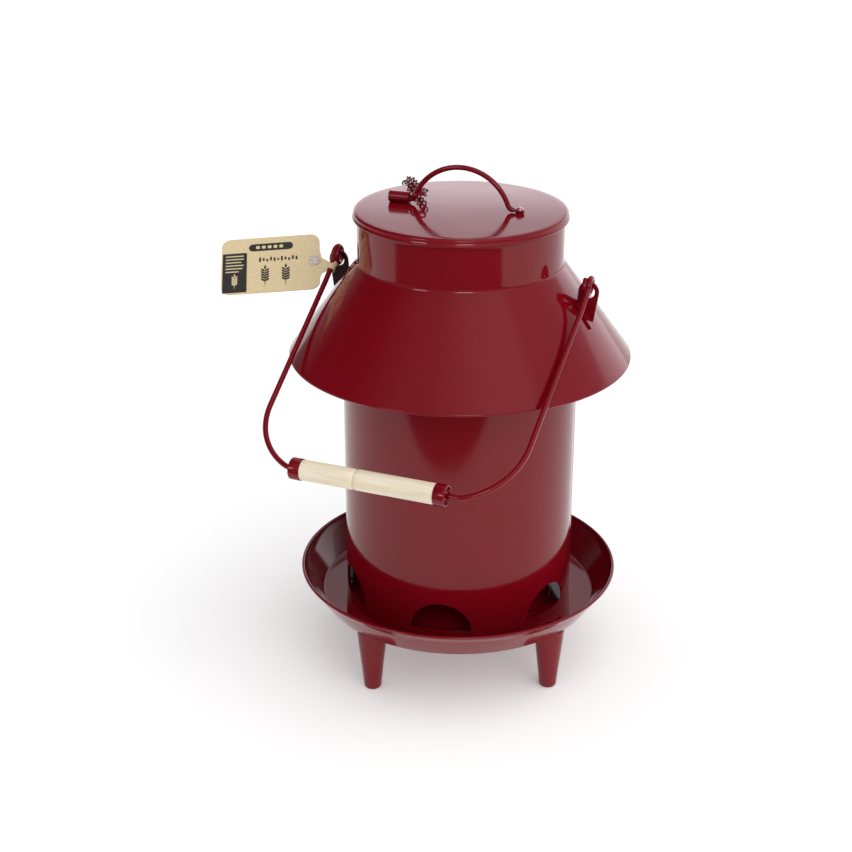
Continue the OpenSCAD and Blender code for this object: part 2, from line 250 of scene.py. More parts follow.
def bump(tree, bsdf, height, strength, distance=0.0005):
    node = tree.nodes.new("ShaderNodeBump")
    node.inputs["Strength"].default_value = strength
    node.inputs["Distance"].default_value = distance
    tree.links.new(height, node.inputs["Height"])
    tree.links.new(node.outputs["Normal"], bsdf.inputs["Normal"])


def paint(name, dark, light, rough, peel=0.06):
    """Gloss paint: its colour and gloss drift slowly, over a fine orange peel."""
    mat, tree, bsdf = new_material(name)
    vec = coords(tree)
    colour = ramp(tree, noise(tree, vec, 9, 4), [(NOISE_LOW, dark), (NOISE_HIGH, light)])
    tree.links.new(colour, bsdf.inputs["Base Color"])
    tree.links.new(remap(tree, noise(tree, vec, 30, 3), *rough), bsdf.inputs["Roughness"])
    bsdf.inputs["IOR"].default_value = PAINT_IOR
    bump(tree, bsdf, noise(tree, vec, 260, 2), peel)
    return mat


burgundy = paint("burgundy_paint", (0.145, 0.0012, 0.005), (0.168, 0.002, 0.0072), (0.07, 0.12), 0.03)
dark_paint = paint("burgundy_paint_chain", (0.085, 0.001, 0.006), (0.12, 0.002, 0.009), (0.2, 0.34))
# A near-black copy of the burgundy paint: painted shade for the left ear, which stands in shadow.
painted_shade_paint = paint("burgundy_paint_painted_shade", (0.010, 0.0008, 0.0018), (0.03, 0.001, 0.003), (0.2, 0.3))


def metal(name, colour, worn, rough):
    mat, tree, bsdf = new_material(name)
    vec = coords(tree)
    rubbed = ramp(tree, noise(tree, vec, 300, 5), [(0.35, worn), (0.65, colour)])
    tree.links.new(rubbed, bsdf.inputs["Base Color"])
    tree.links.new(remap(tree, noise(tree, vec, 700, 2), *rough), bsdf.inputs["Roughness"])
    bsdf.inputs["Metallic"].default_value = 1.0
    bump(tree, bsdf, noise(tree, vec, 1500, 3), 0.15, 0.0001)
    return mat


zinc = metal("zinc", (0.62, 0.62, 0.63), (0.4, 0.4, 0.41), (0.25, 0.4))
# The rivet's head as a pale pinkish metal instead of its burgundy paint: a painted highlight.
painted_highlight_rivet = metal("burgundy_paint_worn_rivet", (0.78, 0.6, 0.62), (0.5, 0.2, 0.24), (0.18, 0.3))


def wood_material():
    mat, tree, bsdf = new_material("pale_wood")
    grain = noise(tree, coords(tree, (22, 260, 260)), 1.0, 6, 0.62, 0.35)
    figure = noise(tree, coords(tree, (9, 70, 70)), 1.0, 3, 0.5, 0.9)
    mix = tree.nodes.new("ShaderNodeMix")
    mix.data_type = "RGBA"
    mix.blend_type = "MULTIPLY"
    mix.inputs["Factor"].default_value = 0.6
    fine = ramp(tree, grain, [(0.25, (0.66, 0.58, 0.44)), (0.55, (0.78, 0.71, 0.58)),
                              (0.8, (0.83, 0.78, 0.67))])
    broad = ramp(tree, figure, [(0.35, (0.88, 0.8, 0.66)), (0.6, (1, 1, 1))])
    tree.links.new(fine, mix.inputs[MIX_A])
    tree.links.new(broad, mix.inputs[MIX_B])
    tree.links.new(mix.outputs[MIX_RESULT], bsdf.inputs["Base Color"])
    tree.links.new(remap(tree, grain, 0.5, 0.68), bsdf.inputs["Roughness"])
    bump(tree, bsdf, grain, 0.25, 0.0002)
    return mat


wood = wood_material()


def card_material(name, stops, rough):
    mat, tree, bsdf = new_material(name)
    vec = coords(tree)
    fibres = noise(tree, vec, 900, 6, 0.7, 0.6)
    tree.links.new(ramp(tree, fibres, stops), bsdf.inputs["Base Color"])
    tree.links.new(remap(tree, fibres, *rough), bsdf.inputs["Roughness"])
    bump(tree, bsdf, noise(tree, vec, 420, 5, 0.6), 0.2, 0.0002)
    return mat


KRAFT_STOPS = [(0.3, (0.52, 0.41, 0.23)), (0.5, (0.62, 0.50, 0.30)), (0.72, (0.70, 0.58, 0.37))]
kraft = card_material("kraft_card", KRAFT_STOPS, (0.75, 0.9))
ink = card_material("dark_ink", [(0.3, (0.012, 0.012, 0.010)), (0.7, (0.03, 0.028, 0.024))], (0.45, 0.6))


def clear_material():
    mat, tree, bsdf = new_material("clear_plastic")
    vec = coords(tree)
    colour = ramp(tree, noise(tree, vec, 400, 3), [(0.3, (0.84, 0.78, 0.70)), (0.7, (0.96, 0.93, 0.88))])
    tree.links.new(colour, bsdf.inputs["Base Color"])
    tree.links.new(remap(tree, noise(tree, vec, 200, 3), 0.12, 0.3), bsdf.inputs["Roughness"])
    bsdf.inputs["Transmission Weight"].default_value = 0.6
    bsdf.inputs["IOR"].default_value = PLASTIC_IOR
    return mat


clear = clear_material()

SLOT_MATERIALS = {"burgundy_paint": burgundy, "painted_chain": dark_paint, "zinc": zinc, "pale_wood": wood,
                  "kraft_card": kraft, "clear_plastic": clear}
SLOTS = {part["node"]: part["material_slot"] for part in frame["record"]["subparts"]}

# the left ear gets the near-black copy of the paint, painted shade, and the other CAD parts take the material
# of their slot
for name, node in frame["nodes"].items():
    chosen = painted_shade_paint if name == "ear_left" else SLOT_MATERIALS[SLOTS[name]]
    for material_slot in node.material_slots:
        material_slot.material = chosen


# ---- tray, legs ---------------------------------------------------------------------------

tray_lo, tray_hi = box("tray")
TRAY_R = tray_hi.x
TRAY_SHEET = 1
WALL_RUN = 17.2
LIP_R = 1.25
BEND_X = 2.6
FLOOR_Z = tray_lo.z + TRAY_SHEET
RIM_Z = tray_hi.z
FLOOR_R = TRAY_R - WALL_RUN

tray_profile = (
    [(0, FLOOR_Z - TRAY_SHEET)] + arc(FLOOR_R - BEND_X, FLOOR_Z + 3, 4, -90, -38, 6)
    + [(TRAY_R - 4.6, RIM_Z - 7.6)]
    + arc(TRAY_R - LIP_R, RIM_Z - LIP_R, LIP_R, -75, 190, 16)
    + [(TRAY_R - 2.9, RIM_Z - 2.9), (TRAY_R - 5.7, RIM_Z - 7.8)]
    + arc(FLOOR_R - BEND_X, FLOOR_Z + 2.4, 2.4, -38, -90, 6) + [(0, FLOOR_Z)])
piece("tray_dish", *lathe(tray_profile, 256), burgundy, "feeder", "burgundy_paint", ["tray"])

for i in range(1, 5):
    lo, hi = box(f"leg_{i}")
    centre = (lo + hi) / 2
    profile = ([(0, 0)] + arc(4.4, 3, 3, -90, -8, 8) + [(9.0, 20), (10.6, 34), (12.1, 48)]
               + [(12.8, hi.z), (11.6, hi.z), (3.9, 5), (0, 5)])
    piece(f"leg_taper_{i}", *lathe(profile, 64, matrix=Matrix.Translation((centre.x, centre.y, 0))),
          burgundy, "feeder", "burgundy_paint", [f"leg_{i}"])


# ---- hopper tube with its windows ---------------------------------------------------------

tube_lo, tube_hi = box("hopper_tube")
TUBE_R = 95.0
TUBE_WALL = 0.8
SILL_Z = 64.0
WINDOW_R = 25.0
WINDOWS = 6
FIRST_WINDOW = rad(-90 + 13)
# Columns across a window, columns between two windows, and rings above the windows.
WINDOW_STEPS = 40
BETWEEN_STEPS = 22
LEVELS = 6
# The lap seam: where it starts and how far round it goes, in degrees, then its height over the tube,
# how far it sinks into it, and how far it stops short of the tube's ends.
SEAM_START, SEAM_SPAN, SEAM_STEPS = 15.5, 6, 12
SEAM_LIFT, SEAM_SINK, SEAM_SHORT = 0.7, 0.3, 0.6


def tube_columns():
    """Columns as (angle, height of the window's top edge or None)."""
    half = math.asin(WINDOW_R / TUBE_R)
    span = 2 * math.pi / WINDOWS - 2 * half
    columns = []
    for w in range(WINDOWS):
        mid = FIRST_WINDOW + w * 2 * math.pi / WINDOWS
        for k in range(WINDOW_STEPS + 1):
            t = math.pi * (1 - k / WINDOW_STEPS)
            a = mid + math.asin(WINDOW_R * math.cos(t) / TUBE_R)
            columns.append((a, SILL_Z + WINDOW_R * math.sin(t)))
        for k in range(1, BETWEEN_STEPS):
            columns.append((mid + half + span * k / BETWEEN_STEPS, None))
    return columns


def tube_mesh():
    """An outer and an inner skin with the windows left out, closed along every edge of the sheet."""
    columns = tube_columns()
    n = len(columns)
    low, high = tube_lo.z, tube_hi.z
    verts, faces, index = [], [], {}

    def vert(layer, c, tag, z):
        key = (layer, c % n, tag)
        if key not in index:
            a = columns[c % n][0]
            r = TUBE_R - (TUBE_WALL if layer else 0)
            index[key] = len(verts)
            verts.append((r * math.cos(a), r * math.sin(a), z))
        return index[key]

    def sill(layer, c):
        return vert(layer, c, "sill", SILL_Z)

    def above(layer, c, edge, level):
        """On a ring between the window's top edge, or the sill where there is none, and the tube's top."""
        if level == 0 and edge <= SILL_Z + TINY:
            return sill(layer, c)
        return vert(layer, c, level, edge + (high - edge) * level / LEVELS)

    for c in range(n):
        d = c + 1
        tops = columns[c][1], columns[d % n][1]
        edge_c, edge_d = (SILL_Z if top is None else top for top in tops)
        for layer in (0, 1):
            quads = [[vert(layer, c, "low", low), vert(layer, d, "low", low), sill(layer, d), sill(layer, c)]]
            for level in range(LEVELS):
                quads.append([above(layer, c, edge_c, level), above(layer, d, edge_d, level),
                              above(layer, d, edge_d, level + 1), above(layer, c, edge_c, level + 1)])
            faces += [quad[::-1] for quad in quads] if layer else quads
        if None not in tops:
            faces.append([sill(0, c), sill(0, d), sill(1, d), sill(1, c)])
            faces.append([above(0, d, edge_d, 0), above(0, c, edge_c, 0),
                          above(1, c, edge_c, 0), above(1, d, edge_d, 0)])
        for tag, z in (("low", low), (LEVELS, high)):
            faces.append([vert(0, c, tag, z), vert(1, c, tag, z), vert(1, d, tag, z), vert(0, d, tag, z)])
    return verts, faces


def seam_mesh():
    """A flat ridge down the tube, with one steep edge and one gentle one."""
    verts, faces = [], []
    for k in range(SEAM_STEPS + 1):
        a = rad(SEAM_START + SEAM_SPAN * k / SEAM_STEPS)
        lift = SEAM_LIFT * min(1.0, 2.2 * k / SEAM_STEPS, 2.2 * (SEAM_STEPS - k) / SEAM_STEPS + 0.25)
        for z in (tube_lo.z + SEAM_SHORT, tube_hi.z - SEAM_SHORT):
            for r in (TUBE_R - SEAM_SINK, TUBE_R + lift):
                verts.append((r * math.cos(a), r * math.sin(a), z))
    for k in range(SEAM_STEPS):
        a, b = 4 * k, 4 * (k + 1)
        faces += [[a + 1, b + 1, b + 3, a + 3], [a, a + 2, b + 2, b],
                  [a, b, b + 1, a + 1], [a + 2, a + 3, b + 3, b + 2]]
    last = 4 * SEAM_STEPS
    faces += [[0, 1, 3, 2], [last, last + 2, last + 3, last + 1]]
    return verts, faces


piece("hopper_wall", *tube_mesh(), burgundy, "feeder", "burgundy_paint", ["hopper_tube"])
piece("hopper_seam", *seam_mesh(), burgundy, "feeder", "burgundy_paint")


# ---- roof ---------------------------------------------------------------------------------

roof_hi = box("roof_shell")[1]
ROOF_R = roof_hi.x
ROOF_RIM_Z = 273.6
NECK_R = 82.0
NECK_FOOT_Z = 350.0
NECK_TOP_Z = roof_hi.z
CONE = math.degrees(math.atan2(NECK_FOOT_Z - ROOF_RIM_Z, ROOF_R - NECK_R))
# The bend from neck to cone, and how far up and down the sheet it reaches.
FILLET = 6.5
turn = 90 - CONE
reach = FILLET * math.tan(rad(turn / 2))
# The rolled hem round the rim, with its outer side on the line of the cone.
HEM_R = 1.3
HEM_Z = ROOF_RIM_Z + HEM_R * math.tan(rad(CONE)) - HEM_R / math.cos(rad(CONE))
roof_profile = (
    arc(NECK_R - 0.4, NECK_TOP_Z - 1.1, 1.1, 205, -60, 16) + [(NECK_R, NECK_TOP_Z - 6)]
    + arc(NECK_R + FILLET, NECK_FOOT_Z + reach, FILLET, 180, 180 + turn, 14)
    + arc(ROOF_R - HEM_R, HEM_Z, HEM_R, 90 - CONE, -190, 18)
    + [(ROOF_R - 3, ROOF_RIM_Z + 3 * math.tan(rad(CONE)) - 1 / math.cos(rad(CONE)))]
    + arc(NECK_R + FILLET, NECK_FOOT_Z + reach, FILLET + 1, 180 + turn, 180, 10))
piece("roof_cone", *lathe(roof_profile, 320), burgundy, "feeder", "burgundy_paint", ["roof_shell"], sharp=60)


# ---- lid ----------------------------------------------------------------------------------

lid_hi = box("lid_cap")[1]
LID_TOP = lid_hi.z
LID_R = lid_hi.x
skirt = LID_TOP - 6.9
lid_profile = (
    [(0, LID_TOP), (LID_R - 14, LID_TOP - 0.1), (LID_R - 7, LID_TOP - 0.25)]
    + arc(LID_R - 3.0, LID_TOP - 2.65, 2.4, 90, 5, 10)
    + arc(LID_R - 1.15, skirt + 1.15, 1.15, 60, -190, 16)
    + [(LID_R - 1.7, skirt + 2.6)] + arc(LID_R - 3.0, LID_TOP - 2.65, 1.4, 0, 90, 8) + [(0, LID_TOP - 1.1)])
piece("lid_disc", *lathe(lid_profile, 320), burgundy, "lid", "burgundy_paint", ["lid_cap"], sharp=60)

# The arched handle: a wire along an arc whose ends bend over onto the lid.
ARCH_R = 40.9
ARCH_TOP = 32.2
ARCH_Z = LID_TOP + ARCH_TOP - ARCH_R
FOOT_Z = LID_TOP + 2.6
FOOT_X = math.sqrt(ARCH_R ** 2 - (FOOT_Z - ARCH_Z) ** 2)
HANDLE = Matrix.Rotation(rad(3.7), 4, "Z")
HANDLE_R = 2.1
# The wire's radius over its last points, where it necks down into an eye under the rivet's head.
NECKING = (2.1, 2.05, 1.95, 1.8, 1.65, 1.5, 1.35, 1.2, 1.05)
RIVET_X = FOOT_X + 8.6
AT_RIVET = HANDLE @ Matrix.Translation((RIVET_X, 0, 0))

arch_end = FOOT_Z + 3 - ARCH_Z
lean = math.degrees(math.atan2(arch_end, math.sqrt(ARCH_R ** 2 - arch_end ** 2)))
arch = [(x, 0, z) for x, z in arc(0, ARCH_Z, ARCH_R, 180 - lean, lean, 48)]
left_foot = smooth_path([(-FOOT_X - 14.5, 0, LID_TOP + 4.5), (-FOOT_X - 9, 0, LID_TOP + 4.1),
                         (-FOOT_X - 3.4, 0, LID_TOP + 3.3), (-FOOT_X - 0.3, 0, LID_TOP + 4.0), arch[0]], 6)
right_foot = smooth_path([arch[-1], (FOOT_X + 0.4, 0, LID_TOP + 3.4), (FOOT_X + 2.6, 0, LID_TOP + 2.35),
                          (FOOT_X + 5.4, 0, LID_TOP + 2.05)], 6)
handle_path = left_foot[:-1] + arch + right_foot[1:]
radii = [HANDLE_R] * (len(handle_path) - len(NECKING)) + list(NECKING)
eye_profile = [(1.72, LID_TOP + 1.05)] + arc(3.0, LID_TOP + 2.0, 0.95, -80, 80, 10) + [(1.72, LID_TOP + 2.95)]
wire_and_eye = join([sweep(handle_path, radii, 20, matrix=HANDLE), lathe(eye_profile, 48, matrix=AT_RIVET)])
piece("lid_arch", *wire_and_eye, burgundy, "lid", "burgundy_paint", ["lid_handle"])

BARREL_R, BARREL_WALL = 4.5, 0.8
BARREL_ENDS = (-FOOT_X - 3.3, -FOOT_X - 19.8)


def rolled_barrel():
    """A strip of sheet rolled into a C along the handle's left foot, lying on the lid."""
    angles = [rad(a) for a in range(75, 406, 10)]
    outer = [(BARREL_R * math.cos(a), BARREL_R * math.sin(a)) for a in angles]
    inner = [((BARREL_R - BARREL_WALL) * math.cos(a), (BARREL_R - BARREL_WALL) * math.sin(a)) for a in angles]
    loop = outer + inner[::-1]
    n = len(loop)
    verts = [(x, y, LID_TOP + BARREL_R + z) for x in BARREL_ENDS for y, z in loop]
    faces = [[i, (i + 1) % n, n + (i + 1) % n, n + i] for i in range(n)]
    for base in (0, n):
        for i in range(len(outer) - 1):
            quad = [base + i, base + i + 1, base + n - 2 - i, base + n - 1 - i]
            faces.append(quad if base else quad[::-1])
    return [tuple(HANDLE @ Vector(v)) for v in verts], faces


piece("lid_barrel", *rolled_barrel(), burgundy, "lid", "burgundy_paint", ["handle_barrel"])

# The rivet's head wears the pale metal of the painted highlight, though its slot is burgundy paint.
rivet_profile = ([(0, LID_TOP - 2.2), (2.4, LID_TOP - 2.1), (2.6, LID_TOP - 1.5), (2.4, LID_TOP - 1.2),
                  (1.6, LID_TOP - 1.15), (1.6, LID_TOP + 3.0), (2.9, LID_TOP + 3.05)]
                 + arc(0, LID_TOP + 1.95, 3.1, 22, 88, 12) + [(0, LID_TOP + 5.05)])
rivet = lathe(rivet_profile, 48, closed=False, matrix=AT_RIVET)
piece("lid_rivet", *rivet, painted_highlight_rivet, "lid", "burgundy_paint", ["handle_rivet"])

# The split ring: two turns of wire pressed together, leaning on the barrel.
COIL_R, COIL_WIRE, COIL_TURNS, COIL_RISE = 6.0, 0.7, 2, 1.5
COIL_STEPS = 144
coil = []
for k in range(COIL_STEPS + 1):
    a = 2 * math.pi * COIL_TURNS * k / COIL_STEPS
    coil.append((COIL_R * math.cos(a), COIL_R * math.sin(a), -COIL_RISE / 2 + COIL_RISE * k / COIL_STEPS))
ring_at = HANDLE @ Matrix.Translation((-35.6, 0, LID_TOP + 8.2)) @ Matrix.Rotation(rad(-15), 4, "Y")
split_ring = sweep(coil, COIL_WIRE, 12, matrix=ring_at)
piece("lid_split_ring", *split_ring, burgundy, "lid", "painted_chain", ["split_ring"])


# ---- chain --------------------------------------------------------------------------------

LINK_R, LINK_WIRE = 3.4, 0.7
LINK_STEPS = 28
LINK_WARP = 0.12
LINK_TURN = 45
END_RING_R, END_RING_WIRE = 6, 0.8
STAPLE_WIRE = 1.0
# The chain comes down in one upright plane, at this angle round the axis.
CHAIN = rad(141.8)


def chain_point(r, z):
    """A point in the chain's plane, from its distance to the axis and its height."""
    return Vector((r * math.cos(CHAIN), r * math.sin(CHAIN), z))


def over_lid(x, y, z):
    """A point over the lid, in the handle's own directions."""
    return HANDLE @ Vector((x, y, LID_TOP + z))


def link_mesh(centre, along, i):
    """A round link, slightly warped, turned about the run and laid along it."""
    pts = []
    for k in range(LINK_STEPS):
        a = 2 * math.pi * k / LINK_STEPS
        pts.append((LINK_R * math.cos(a), LINK_R * math.sin(a), LINK_WARP * math.sin(2 * a)))
    turn_x = Matrix.Rotation(rad(LINK_TURN if i % 2 == 0 else -LINK_TURN), 4, "X")
    yaw = math.atan2(along.y, along.x)
    pitch = -math.atan2(along.z, math.hypot(along.x, along.y))
    place = Matrix.Translation(centre) @ Matrix.Rotation(yaw, 4, "Z") @ Matrix.Rotation(pitch, 4, "Y") @ turn_x
    return sweep(pts, LINK_WIRE, 10, closed=True, matrix=place)


def run(start, end, count, first):
    """Links from one point to another, evenly spaced, the last one on the second point."""
    return [link_mesh(start + (end - start) * k / count, end - start, k + first) for k in range(1, count + 1)]


# Listed: two links off the split ring, across the lid, over its edge, and down to the end ring.
chain_path = [over_lid(-34.39, 6.48, 7.85), over_lid(-34.3, 10.88, 6.42), over_lid(-36.68, 14.63, 4.85),
              chain_point(82.94, LID_TOP + 3.22), chain_point(87.07, LID_TOP + 1.71),
              chain_point(89.58, LID_TOP - 1.97), chain_point(96.86, LID_TOP - 30.93)]
on_lid = ([link_mesh(chain_path[0], chain_path[1] - chain_path[0], 0)] + run(*chain_path[0:2], 1, 0)
          + run(*chain_path[1:3], 1, 1) + run(*chain_path[2:4], 10, 2))
hanging = run(*chain_path[3:5], 1, 12) + run(*chain_path[4:6], 1, 13) + run(*chain_path[5:7], 6, 14)
piece("chain_links_lid", *join(on_lid), dark_paint, "lid", "painted_chain", ["chain_on_lid"])
piece("chain_links_drop", *join(hanging), dark_paint, "lid", "painted_chain", ["chain_hanging"])
ring_centre = chain_point(91.6, 360.5)
end_ring = [ring_centre + Vector((END_RING_R * math.cos(rad(a)), END_RING_R * math.sin(rad(a)), 0))
            for a in range(0, 360, 6)]
piece("chain_last_ring", *sweep(end_ring, END_RING_WIRE, 14, closed=True), dark_paint, "lid", "painted_chain",
      ["chain_end_ring"])

STAPLE_POINTS = ((82.1, 381), (84.5, 381), (86.8, 380.7), (87.9, 379.4), (88, 376), (88, 367), (88, 359),
                 (87.9, 355.6), (86.8, 354.3), (84.5, 354), (82.1, 354))
staple = smooth_path([chain_point(r, z) for r, z in STAPLE_POINTS], 8)
piece("chain_staple", *sweep(staple, STAPLE_WIRE, 14), burgundy, "feeder", "burgundy_paint", ["chain_anchor"])


# ---- bail ---------------------------------------------------------------------------------

PIVOT_Z = 340.9
BAIL_REST = 57.1
BAIL_DROP = 205.6
BAIL_HALF = 108.0
WIRE_R = 2.15
# The half of the bow seen from the front, in the frame in which the bail hangs straight down: the length
# of straight wire beside the middle, the small bend at its end and the angle that the wire leaves it at,
# the wide bend, and the slant of the long arm.
STRAIGHT, END_R, END_ANGLE, BEND_R, SLANT = 67.0, 14.0, 24.0, 56.0, 0.77
ARM_TOP = -16
# The eye that the wire is wound into, seen from its end.
EYE_R, EYE_TURNS, EYE_START, EYE_STEPS = 6.5, 1.18, 235, 44
EYE_OUT, EYE_WIDTH = 0.95, 4.0
AT_REST = Matrix.Translation((0, 0, PIVOT_Z)) @ Matrix.Rotation(rad(-BAIL_REST), 4, "X")


def bail_path():
    """The wire from the middle to the right eye, then round it."""
    turned = END_ANGLE - 90
    c1 = (STRAIGHT, -BAIL_DROP + END_R)
    p2 = (c1[0] + END_R * math.cos(rad(turned)), c1[1] + END_R * math.sin(rad(turned)))
    c2 = (p2[0] - BEND_R * math.cos(rad(turned)), p2[1] - BEND_R * math.sin(rad(turned)))
    pts = [(STRAIGHT * k / 8, 0, -BAIL_DROP) for k in range(8)]
    pts += [(x, 0, z) for x, z in arc(c1[0], c1[1], END_R, -90, turned, 8)]
    pts += [(x, 0, z) for x, z in arc(c2[0], c2[1], BEND_R, turned, -SLANT, 24)][1:]
    top = pts[-1]
    for k in range(1, 12):
        t = k / 12
        pts.append((top[0] + (BAIL_HALF - top[0]) * t, 0, top[2] + (ARM_TOP - top[2]) * t))
    # out to one side of the eye, then round it, moving inwards as it goes
    pts += [(BAIL_HALF, -1.2, -12), (BAIL_HALF, -2.8, -8.4)]
    for k in range(EYE_STEPS + 1):
        a = rad(EYE_START - 360 * EYE_TURNS * k / EYE_STEPS)
        shift = -EYE_WIDTH * k / EYE_STEPS
        pts.append((BAIL_HALF + EYE_OUT + shift, EYE_R * math.cos(a), EYE_R * math.sin(a)))
    return pts


half_path = bail_path()
full = [(-x, y, z) for x, y, z in half_path[::-1]][:-1] + half_path
piece("bail_bow", *sweep(full, WIRE_R, 20, matrix=AT_REST), burgundy, "bail", "burgundy_paint", ["bail_wire"])

GRIP = AT_REST @ Matrix.Translation((-3.65, 0, -BAIL_DROP)) @ Matrix.Rotation(rad(90), 4, "Y")
GRIP_R, GRIP_LEN, FERRULE = 7.9, 125.5, 9.0
seat = GRIP_LEN / 2 - FERRULE
# The wire's play in the wood, and the turned groove near the grip's middle.
PLAY = 0.06
groove = [(GRIP_R, -11.7), (GRIP_R - 0.25, -11.1), (GRIP_R - 1.3, -10.1), (GRIP_R - 0.25, -9.0),
          (GRIP_R, -8.4)]
wood_profile = (
    [(WIRE_R + PLAY, -seat + 0.2), (GRIP_R - 0.1, -seat + 0.2), (GRIP_R, -seat + 0.8)]
    + [(GRIP_R, -seat + 0.8 + (seat - 12.6) * t / 12) for t in range(1, 12)] + groove
    + [(GRIP_R, -8.4 + (seat + 7.6) * t / 12) for t in range(1, 12)]
    + [(GRIP_R, seat - 0.8), (GRIP_R - 0.1, seat - 0.2), (WIRE_R + PLAY, seat - 0.2)])
piece("grip_barrel", *lathe(wood_profile, 96, matrix=GRIP), wood, "grip", "pale_wood", ["grip_wood"])

end = GRIP_LEN / 2
ferrule_profile = (
    [(GRIP_R - 0.5, end - FERRULE), (GRIP_R + 0.35, end - FERRULE), (GRIP_R + 0.5, end - FERRULE + 0.35),
     (GRIP_R + 0.5, end - 1.2)]
    + arc(GRIP_R - 0.4, end - 0.9, 0.9, 0, 90, 5) + arc(GRIP_R - 0.6, end - 0.5, 0.5, 90, 180, 4)
    + [(GRIP_R - 1.7, end - 2.2), (4.4, end - 2.6), (3.6, end - 2.2), (3.2, end - 1.2),
       (WIRE_R + 0.1, end - 1.0), (WIRE_R + 0.1, end - 4), (GRIP_R - 0.5, end - 4)])
for name, facing in (("left", Matrix.Scale(-1, 4, (0, 0, 1))), ("right", Matrix.Identity(4))):
    piece(f"grip_ferrule_{name}", *lathe(ferrule_profile, 72, matrix=GRIP @ facing), burgundy, "grip",
          "burgundy_paint", [f"ferrule_{name}"])


# ---- hang tag -----------------------------------------------------------------------------

ON_LOOP = AT_REST @ Matrix.Translation((-BAIL_HALF + 0.18, 0, -13.4)) @ Matrix.Rotation(rad(9.5), 4, "Z")
ON_CARD = ON_LOOP @ Matrix.Rotation(rad(-21.6), 4, "Y")
TAG_W, TAG_H, SHOULDER, TAG_LOW = 81.0, 56.8, 10.0, -21.9
CARD_T = 0.8
CORNER_R = 8
# How far the dark print, and the light print over it, stand proud of the card.
INK, INK_ON_INK = 0.08, 0.12


def card_outline():
    """The card with its rounded corners, and the neck that runs to the wire."""
    xa, xb, za, zb, r = -SHOULDER - TAG_W, -SHOULDER, TAG_LOW, TAG_LOW + TAG_H, CORNER_R
    return (arc(xa + r, zb - r, r, 180, 90, 8) + arc(xb - r, zb - r, r, 90, 0, 8)
            + [(xb, 18), (xb + 1.6, 9.5), (-1.56, 4.2), (-4.89, -4.2), (xb + 1.6, -6), (xb, -10)]
            + arc(xb - r, za + r, r, 0, -90, 8) + arc(xa + r, za + r, r, -90, -180, 8))


card = plate(card_outline(), -CARD_T / 2, CARD_T / 2, ON_CARD)
sleeve = lathe([(2.6, -4), (3.3, -4), (3.3, 4), (2.6, 4)], 40, matrix=ON_LOOP)
piece("tag_sheet", *join([card, sleeve]), kraft, "tag", "kraft_card", ["tag_card"])


def printed(outline, lift=INK):
    """A mark on the card's front, as a thin plate that goes a little way into it."""
    return plate(outline, -CARD_T / 2 - lift, -CARD_T / 2 + 0.1, ON_CARD)


def rounded(xa, za, xb, zb, r):
    """A rectangle with round corners."""
    return (arc(xb - r, za + r, r, -90, 0, 5) + arc(xb - r, zb - r, r, 0, 90, 5)
            + arc(xa + r, zb - r, r, 90, 180, 5) + arc(xa + r, za + r, r, 180, 270, 5))


def leaf(x, z, turn, length, width, steps=8):
    """A pointed oval from (x, z), as a grain or a leaf of the printed stalk."""
    side = [(length * t / steps, width / 2 * math.sin(math.pi * t / steps)) for t in range(steps + 1)]
    loop = side + [(u, -v) for u, v in side[-2:0:-1]]
    c, s = math.cos(rad(turn)), math.sin(rad(turn))
    return [(x + u * c - v * s, z + u * s + v * c) for u, v in loop]


def stalk(x, z, scale, lift):
    """A stalk of grain, drawn as a stem with pairs of grains and one at its tip."""
    out = [printed(leaf(x, z, 90, 24 * scale, 1.1 * scale), lift)]
    for k in range(5):
        foot = z + (8 + 3.1 * k) * scale
        for lean in (38, 142):
            out.append(printed(leaf(x, foot, lean, 5.6 * scale, 2.3 * scale), lift))
    out.append(printed(leaf(x, z + 22.5 * scale, 90, 5.6 * scale, 2.3 * scale), lift))
    return out


bars = [rounded(-60 + 3 * k, 9.5 + 0.8 * (k % 2), -58.4 + 3 * k, 14.2 - 0.9 * (k % 3), 0.5)
        for k in range(11)]
marks = [printed(rounded(-68.5, 21, -32, 28.5, 3.6)), printed(rounded(-90, -20.5, -70, 20, 1.0))]
for x in (-55, -38):
    marks += stalk(x, -17, 0.82, INK)
marks += [printed(bar) for bar in bars]
piece("tag_print", *join(marks), ink, "tag", "kraft_card")

lines = [rounded(-87.5, z, -87.5 + w, z + 1.1, 0.5)
         for z, w in ((16.4, 15), (13.2, 15), (10, 13), (6.8, 15), (3.6, 14), (0.4, 11))]
squares = [rounded(-62.5 + 4.8 * k, 23.2, -59.4 + 4.8 * k, 26.3, 0.9) for k in range(5)]
light_marks = [printed(line, INK_ON_INK) for line in lines] + stalk(-80, -17.5, 0.58, INK_ON_INK)
light_marks += [printed(square, INK_ON_INK) for square in squares]
piece("tag_print_light", *join(light_marks), kraft, "tag", "kraft_card")

snap_at = ON_CARD @ Matrix.Translation((-SHOULDER - 4.5, 0, 7)) @ Matrix.Rotation(rad(90), 4, "X")
snap_profile = [(0, -2.3), (3.6, -2.2), (4.8, -1.4), (5.0, -0.5), (1.6, -0.5), (1.6, 0.5),
                (5.0, 0.5), (4.8, 1.5), (3.4, 2.2), (2.6, 1.8), (0, 1.6)]
snap = lathe(snap_profile, 48, closed=False, matrix=snap_at)
piece("tag_snap", *snap, clear, "tag", "clear_plastic", ["tag_rivet"])


# ---- studio -------------------------------------------------------------------------------

# The camera's turn about the upright axis, in degrees, which the lights share.
VIEW = 22.64
TURN = Matrix.Rotation(rad(VIEW), 4, "Z")
scene = bpy.context.scene
scene.view_settings.view_transform = "Standard"
scene.view_settings.look = "None"

camera_data = bpy.data.cameras.new("camera")
camera_data.lens = 68.65
camera_data.sensor_width = 36
camera = bpy.data.objects.new("camera", camera_data)
camera.location = (0.4506, -1.1514, 0.7441)
camera.rotation_euler = (rad(66.441), 0, rad(VIEW))
scene.collection.objects.link(camera)
scene.camera = camera


